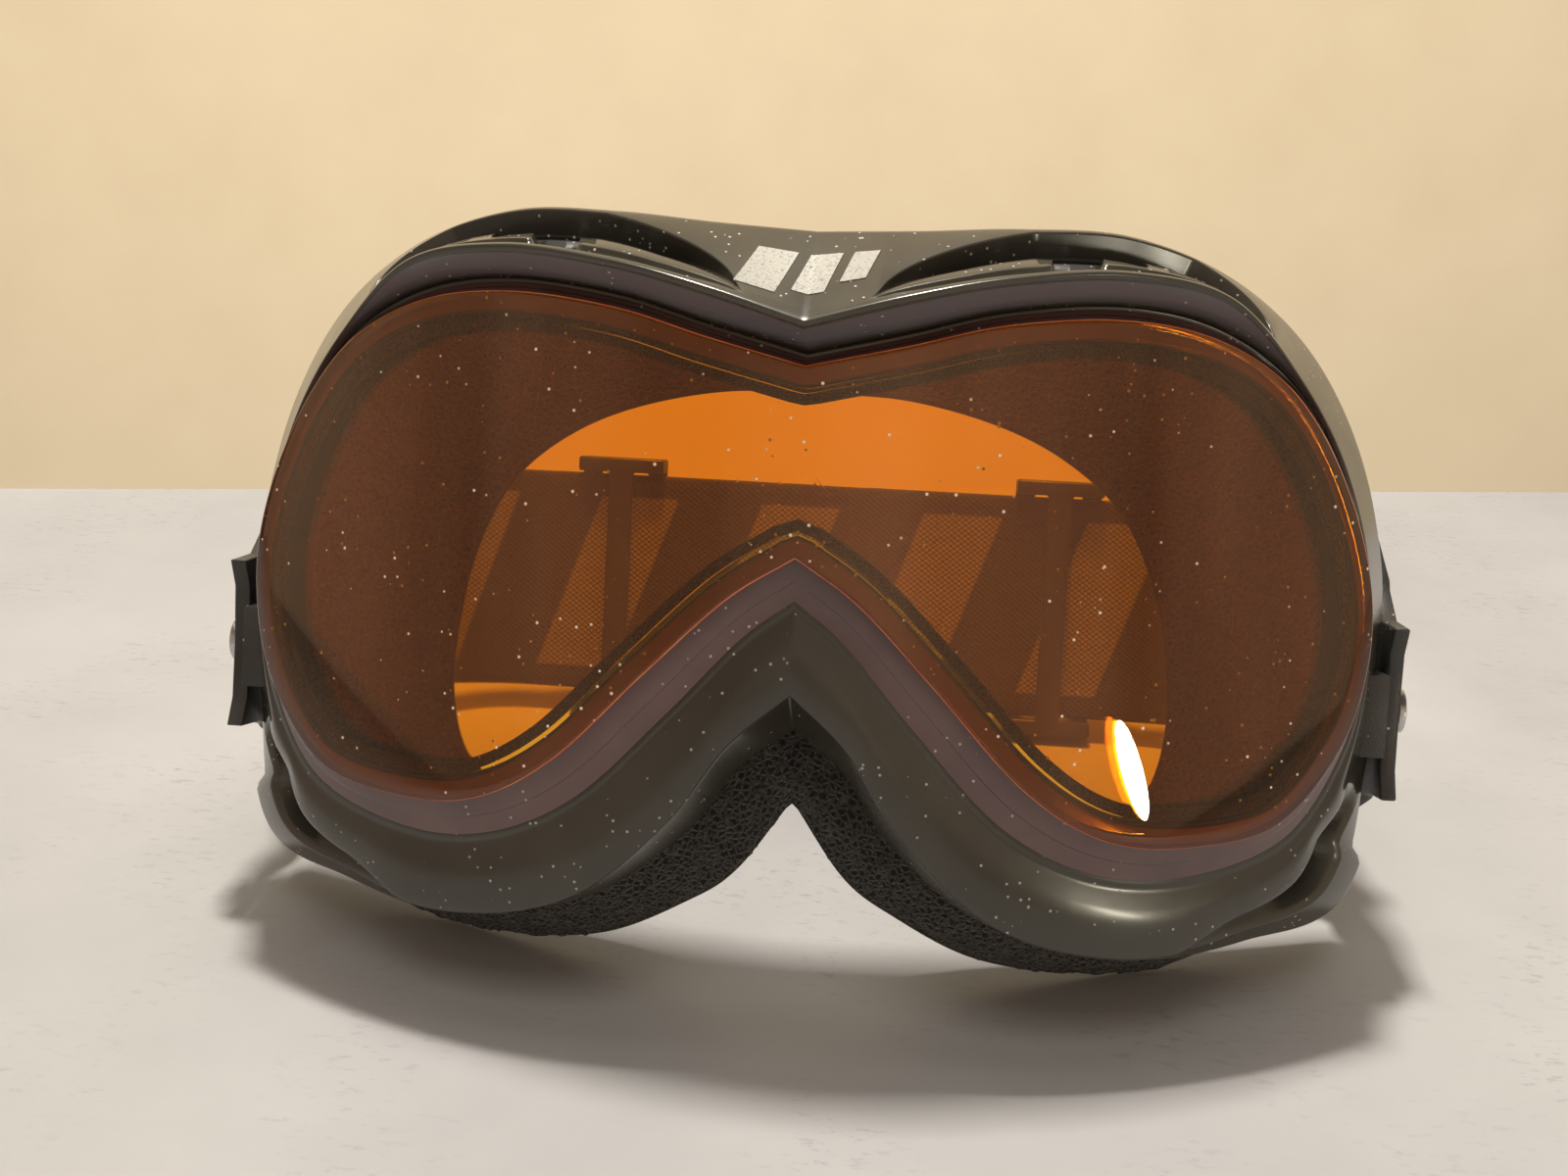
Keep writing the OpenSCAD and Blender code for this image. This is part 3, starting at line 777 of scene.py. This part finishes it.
def make_spacer():
    """The foam gasket that fills the gap between the two lenses, 0.1 mm clear of each."""
    outer, inner = moved(lens, -3.95), moved(lens, -5.55)
    front, back = LENS_T + 0.1, INNER_LENS_DEPTH - 0.1
    corners = ((outer, front), (outer, back), (inner, back), (inner, front))
    loops = [on_cylinder(loop, depth) for loop, depth in corners]
    gasket = ring_object("spacer_gasket", rounded(loops, [0.3] * len(loops), 2), SPACER_MAT)
    rides(gasket, "frame", "spacer", "lens_spacer")


def make_rim():
    """The tinted wall from the lens's edge out to the brim, with a small step half way."""
    first = at_depth(moved(lens, -0.5), 2.95)
    step = between_loops(first, rim, 0.55)
    loops = [placed(first), placed(moved(step, 0, -0.12)), placed(moved(step, 0.05, 0.2)), placed(rim),
             placed(at_depth(moved(lens, -2.8), 4.3)), placed(at_depth(moved(lens, -2.8), 2.95))]
    rides(ring_object("lens_rim_wall", rounded(loops, [0.3, 0.15, 0.15, 0.3, 0.2, 0.2], 3), RIM_MAT),
          "frame", "rim", "lens_rim")


make_spacer()
make_rim()

# ---------------------------------------------------------------- foam


def roughened(obj, amount, size, seed):
    """Moves each vertex along its normal by cell noise, so that the foam's outline is broken too."""
    shift = Vector((seed, seed * 0.7, seed * 1.3))
    mesh = obj.data
    co = np.zeros(len(mesh.vertices) * 3)
    mesh.vertices.foreach_get("co", co)
    normals = np.array([v.normal[:] for v in mesh.vertices])
    co = co.reshape(-1, 3)
    moves = np.empty(len(co))
    for i, p in enumerate(co):
        q = Vector(p) / size + shift
        cell = noise.voronoi(q)[0]
        moves[i] = min(cell[1] - cell[0], 0.6) / 0.6 - 0.5 + 0.5 * noise.noise(q * 0.35)
    co += normals * (moves * -amount)[:, None]
    mesh.vertices.foreach_set("co", co.ravel())
    mesh.update()


def make_face_foam():
    """The foam ring between the rear flange and the face, with a broken surface."""
    mid = moved(between_loops(rear, pad, 0.55), 0.2, 1)
    loops = [placed(moved(rear, 0.8 - FLANGE_REACH, 3.4)), placed(moved(rear, -2.0, 3.4)), placed(mid),
             placed(moved(pad, -0.4)), placed(moved(opening, 0.3))]
    section = filled(rounded(loops, [1.0, 1.5, 4.0, 2.5, 3.5], 4), 1.2)
    obj = ring_object("face_foam_ring", section, FOAM_MAT)
    roughened(obj, 0.0007, 0.0012, 3.0)
    rides(obj, "frame", "foam", "face_foam")


def make_fleece():
    """The thin skin on the foam's face side."""
    loops = [placed(moved(opening, 0.8, 0.3)), placed(moved(pad, -0.6, 0.3)), placed(moved(pad, -0.9, 1.4)),
             placed(moved(opening, 1.0, 1.4))]
    section = filled(rounded(loops, [0.3, 0.3, 0.6, 0.6], 2), 2.0)
    obj = ring_object("fleece_skin", section, FLEECE_MAT)
    rides(obj, "frame", "fleece", "face_fleece")


make_face_foam()
make_fleece()

# ---------------------------------------------------------------- pieces refined from their CAD nodes


def refined(name, node, material, slot, body, width, segments=3):
    """A copy of a CAD node with its flat faces joined up and its edges rounded."""
    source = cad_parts[node]
    bm = bmesh.new()
    bm.from_mesh(source.data)
    bmesh.ops.remove_doubles(bm, verts=bm.verts, dist=1e-6)
    bmesh.ops.dissolve_limit(bm, angle_limit=math.radians(1.0), verts=bm.verts, edges=bm.edges)
    mesh = bpy.data.meshes.new(name)
    bm.to_mesh(mesh)
    bm.free()
    mesh.polygons.foreach_set("use_smooth", [True] * len(mesh.polygons))
    obj = bpy.data.objects.new(name, mesh)
    bpy.context.scene.collection.objects.link(obj)
    mesh.materials.clear()
    mesh.materials.append(material)
    bevel = obj.modifiers.new("rounding", "BEVEL")
    bevel.width = width
    bevel.segments = segments
    bevel.limit_method = "ANGLE"
    bevel.angle_limit = math.radians(35)
    bevel.harden_normals = False
    return rides(obj, body, slot, node)


for word in ("left", "right"):
    refined("temple_boss_" + word, "temple_mount_" + word, HARD_MAT, "hardware", "frame", 0.0006)
    refined("pin_" + word, "pivot_pin_" + word, STEEL_MAT, "pin", "frame", 0.0002)
    refined("outrigger_arm_" + word, "outrigger_" + word, HARD_MAT, "hardware", "outriggers", 0.0005)
    refined("ladder_buckle_" + word, "adjuster_" + word, HARD_MAT, "hardware", "adjuster_" + word, 0.0005)
    refined("stitch_rows_" + word, "bartack_" + word, THREAD_MAT, "stitching", "outriggers", 0.00015, 2)
    for place in ("top", "bottom"):
        piece = refined(f"{place}_vent_pad_{word}", f"{place}_vent_foam_{word}", VENT_MAT, "vent_foam",
                        "frame", 0.0005)

# ---------------------------------------------------------------- strap

STRAP_W, STRAP_T, STRAP_Z = 46.0, 1.6, -16.5
STRAP_BACK_Y, CORNER_R = 132.0, 28.0
ARM_X, ARM_T, ARM_INSET = 92.4, 2.6, 2.8
STRAP_X = ARM_X - ARM_INSET + ARM_T / 2
BAR_Y, LOOP_END_Y = 65.2, 82.0
CORNER_Y = STRAP_BACK_Y - CORNER_R
BACK_RUN = STRAP_X + STRAP_T / 2 - CORNER_R
TAIL_ENDS = (6, 60)
TAIL_Y = STRAP_BACK_Y + 0.1 + STRAP_T / 2
FOLD_R = 2.75             # the inside of the fold round the outrigger's bar


def ribbon(name, path, start_u, thickness=STRAP_T):
    """Webbing along a path in plan: a rounded strip with a UV map in metres along and across it."""
    path = np.array(path, float)
    n = len(path)
    tangent = np.gradient(path, axis=0)
    tangent /= np.linalg.norm(tangent, axis=1)[:, None]
    normal = np.stack([tangent[:, 1], -tangent[:, 0]], -1)
    length = np.concatenate([[0], np.cumsum(np.linalg.norm(np.diff(path, axis=0), axis=1))]) + start_u
    half, r = STRAP_W / 2, thickness * 0.45
    section = []
    across = np.linspace(-half + r, half - r, 24)
    section += [(thickness / 2, v) for v in across]
    turn = np.linspace(0, math.pi, 6)[1:-1]
    section += [(thickness / 2 * math.cos(a), half - r + r * math.sin(a)) for a in turn]
    section += [(-thickness / 2, v) for v in across[::-1]]
    section += [(-thickness / 2 * math.cos(a), -half + r - r * math.sin(a)) for a in turn]
    m = len(section)
    verts = [(path[i, 0] + normal[i, 0] * o, path[i, 1] + normal[i, 1] * o, STRAP_Z + v)
             for i in range(n) for o, v in section]
    faces = []
    for i in range(n - 1):
        for j in range(m):
            j2 = (j + 1) % m
            faces.append((i * m + j, i * m + j2, (i + 1) * m + j2, (i + 1) * m + j))
    faces.append(tuple(range(m - 1, -1, -1)))
    faces.append(tuple((n - 1) * m + j for j in range(m)))
    obj = new_object(name, posed(np.array(verts)), faces, WEB_MAT)
    uv = obj.data.uv_layers.new(name="UVMap")
    for loop in obj.data.loops:
        i, j = divmod(loop.vertex_index, m)
        uv.data[loop.index].uv = (length[i] / 1000, (section[j][1] + half) / 1000)
    return obj


def arc(cx, cy, r, a0, a1, n):
    angles = np.linspace(math.radians(a0), math.radians(a1), n)
    return [(cx + r * math.cos(a), cy + r * math.sin(a)) for a in angles]


def resampled(path, pitch):
    path = np.array(path, float)
    d = np.concatenate([[0], np.cumsum(np.linalg.norm(np.diff(path, axis=0), axis=1))])
    s = np.linspace(0, d[-1], max(2, int(round(d[-1] / pitch)) + 1))
    return np.stack([np.interp(s, d, path[:, 0]), np.interp(s, d, path[:, 1])], -1)


def mirrored(path, side):
    return [(x * side, y) for x, y in path]


for side, word in ((-1, "left"), (1, "right")):
    # round the bar, with both layers brought together behind it
    r = FOLD_R + STRAP_T / 2
    fold = [(STRAP_X + STRAP_T / 2, LOOP_END_Y), (STRAP_X + STRAP_T / 2, 71.5), (STRAP_X + 1.6, 70.2)]
    fold += arc(STRAP_X, BAR_Y, r, 50, -230, 40)
    fold += [(STRAP_X - 1.6, 70.2), (STRAP_X - STRAP_T / 2, 71.5), (STRAP_X - STRAP_T / 2, 80.5)]
    path = resampled(mirrored(fold, side), 0.7)
    piece = ribbon("strap_fold_" + word, path, 0, STRAP_T - 0.06)
    rides(piece, "outriggers", "webbing", "strap_loop_" + word)
    run = resampled(mirrored([(STRAP_X, LOOP_END_Y - 0.3), (STRAP_X, CORNER_Y)], side), 1.0)
    piece = ribbon("strap_side_run_" + word, run, 40)
    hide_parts("strap_side_" + word)
    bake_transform(piece)
    tail = resampled(mirrored([(x, TAIL_Y) for x in TAIL_ENDS], side), 1.5)
    piece = ribbon("strap_free_end_" + word, tail, 10)
    rides(piece, "strap_back", "webbing", "strap_tail_" + word)

mid_r = CORNER_R - STRAP_T / 2
back_path = arc(BACK_RUN, CORNER_Y, mid_r, 0, 90, 40) + arc(-BACK_RUN, CORNER_Y, mid_r, 90, 180, 40)
rides(ribbon("strap_rear_run", resampled(back_path, 1.5), 60), "strap_back", "webbing", "strap_back")

# ---------------------------------------------------------------- a plain silver mark on the brow


def brow_point(x, u, lift):
    """A point on the brow's surface: x across, u from the ridge to the rear edge."""
    b, r = placed(bezel), placed(rear)
    half = slice(0, 3 * STEPS)
    px = np.interp(abs(x), b[half, 0], b[half, 2])
    by = np.interp(abs(x), b[half, 0], b[half, 1])
    rx = np.interp(abs(x), r[half, 0], r[half, 2])
    ry = np.interp(abs(x), r[half, 0], r[half, 1])
    y, z = by + (ry - by) * u, px + (rx - px) * u
    n = np.array([px - rx, ry - by])
    n = n / np.linalg.norm(n)
    return np.array([x, y + n[0] * lift, z + n[1] * lift])


MARK_BARS = [(-9.2, -3.4, 0.22), (-1.6, 3.0, 0.30), (4.6, 8.2, 0.38)]   # left, right, front end
MARK_END = 0.72
MARK_SLANT = 5.0          # how far a bar leans to the right from the bezel to the rear edge
MARK_LIFTS = (0.10, -0.15)   # its face, above the brow, and its underside, sunk in it


def make_mark():
    """Three slanted bars, each shorter than the last."""
    verts, faces = [], []
    nx, nu = 14, 10
    for x0, x1, u0 in MARK_BARS:
        start = len(verts)
        for lift in MARK_LIFTS:
            for j in range(nu + 1):
                for i in range(nx + 1):
                    u = u0 + (MARK_END - u0) * j / nu
                    x = x0 + (x1 - x0) * i / nx + (u - 0.47) * MARK_SLANT
                    verts.append(brow_point(x, u, lift))
        w = nx + 1
        count = w * (nu + 1)
        for j in range(nu):
            for i in range(nx):
                a = start + j * w + i
                faces.append((a, a + 1, a + w + 1, a + w))
                c = a + count
                faces.append((c, c + w, c + w + 1, c + 1))
        rim_ids = [start + i for i in range(w)]
        rim_ids += [start + j * w + nx for j in range(1, nu + 1)]
        rim_ids += [start + nu * w + i for i in range(nx - 1, -1, -1)]
        rim_ids += [start + j * w for j in range(nu - 1, 0, -1)]
        for k in range(len(rim_ids)):
            a, b = rim_ids[k], rim_ids[(k + 1) % len(rim_ids)]
            faces.append((b, a, a + count, b + count))
    obj = new_object("brow_mark", posed(np.array(verts)), faces, PRINT_MAT, shade_smooth=False)
    rides(obj, "frame", "frame")


make_mark()

# ---------------------------------------------------------------- stage and lights

TABLE_END = Vector((-0.024, 0.220, 0.0))   # a point on the table's far edge
STAGE_TURN = math.radians(10.3)


def make_stage():
    """A table top that ends at its far edge, and a wall well behind it."""
    reach, front, wall_y, low, high = 1.6, 1.9, 0.95, -1.2, 2.0
    turn = Matrix.Translation(TABLE_END) @ Matrix.Rotation(STAGE_TURN, 4, "Z")
    corners = [(-reach, -front, 0), (reach, -front, 0), (reach, 0, 0), (-reach, 0, 0)]
    table = new_object("table_top", corners, [(0, 1, 2, 3)], floor_material(), False, closed=False)
    wide = 2 * reach
    corners = [(-wide, wall_y, low), (wide, wall_y, low), (wide, wall_y, high), (-wide, wall_y, high)]
    wall = new_object("back_wall", corners, [(0, 1, 2, 3)], wall_material(), False, closed=False)
    for obj in (table, wall):
        obj.data.transform(turn)


def make_room():
    """The dim far side of the room, which the lens reflects."""
    verts = [(x, y, z) for x, y in ((-1.6, 0.1), (-1.3, -1.5), (1.3, -1.5), (1.6, 0.3)) for z in (-0.05, 1.6)]
    faces = [(2 * i, 2 * i + 2, 2 * i + 3, 2 * i + 1) for i in range(3)]
    obj = new_object("far_room", verts, faces, room_material(), shade_smooth=False, closed=False)


def area_light(name, place, target, size, power, colour, size_y=None, in_gloss=True):
    data = bpy.data.lights.new(name, "AREA")
    data.energy = power
    data.color = colour
    data.size = size
    if size_y:
        data.shape = "ELLIPSE"
        data.size_y = size_y
    obj = bpy.data.objects.new(name, data)
    obj.location = place
    obj.rotation_euler = (Vector(target) - Vector(place)).to_track_quat("-Z", "Y").to_euler()
    obj.visible_glossy = in_gloss
    obj.visible_transmission = in_gloss
    bpy.context.scene.collection.objects.link(obj)
    return obj


def lens_lamp(point, azimuth, elevation, distance, wide, tall, tilt, power, colour):
    """A small lamp placed where the lens mirrors it to the camera from the given direction."""
    a, e = math.radians(azimuth), math.radians(elevation)
    way = Vector((math.sin(a) * math.cos(e), -math.cos(a) * math.cos(e), math.sin(e)))
    place = Vector(point) + way * distance
    obj = area_light("lens_lamp", place, point, wide, power, colour, tall)
    obj.rotation_euler.rotate_axis("Z", math.radians(tilt))
    return obj


make_stage()
make_room()
area_light("ceiling", (-0.05, 0.15, 1.1), (0, -0.10, 0), 0.10, 16.0, (1.0, 0.93, 0.82))
area_light("table_fill", (0.0, -0.55, 0.9), (0, -0.22, 0), 0.4, 2.2, (1.0, 0.94, 0.86), in_gloss=False)
area_light("wall_wash", (0.0, 0.35, 1.5), (0, 1.15, 0.1), 1.0, 6.0, (1.0, 0.95, 0.88), in_gloss=False)
lens_lamp(posed_one(49.8, 7.5, -28.7), azimuth=40.3, elevation=1.6, distance=0.5,
          wide=0.019, tall=0.062, tilt=44, power=0.2, colour=(1.0, 0.93, 0.72))

world = bpy.data.worlds.new("room")
world.use_nodes = True
background = world.node_tree.nodes["Background"]
background.inputs["Color"].default_value = (1.0, 0.88, 0.72, 1.0)
background.inputs["Strength"].default_value = 0.10
bpy.context.scene.world = world
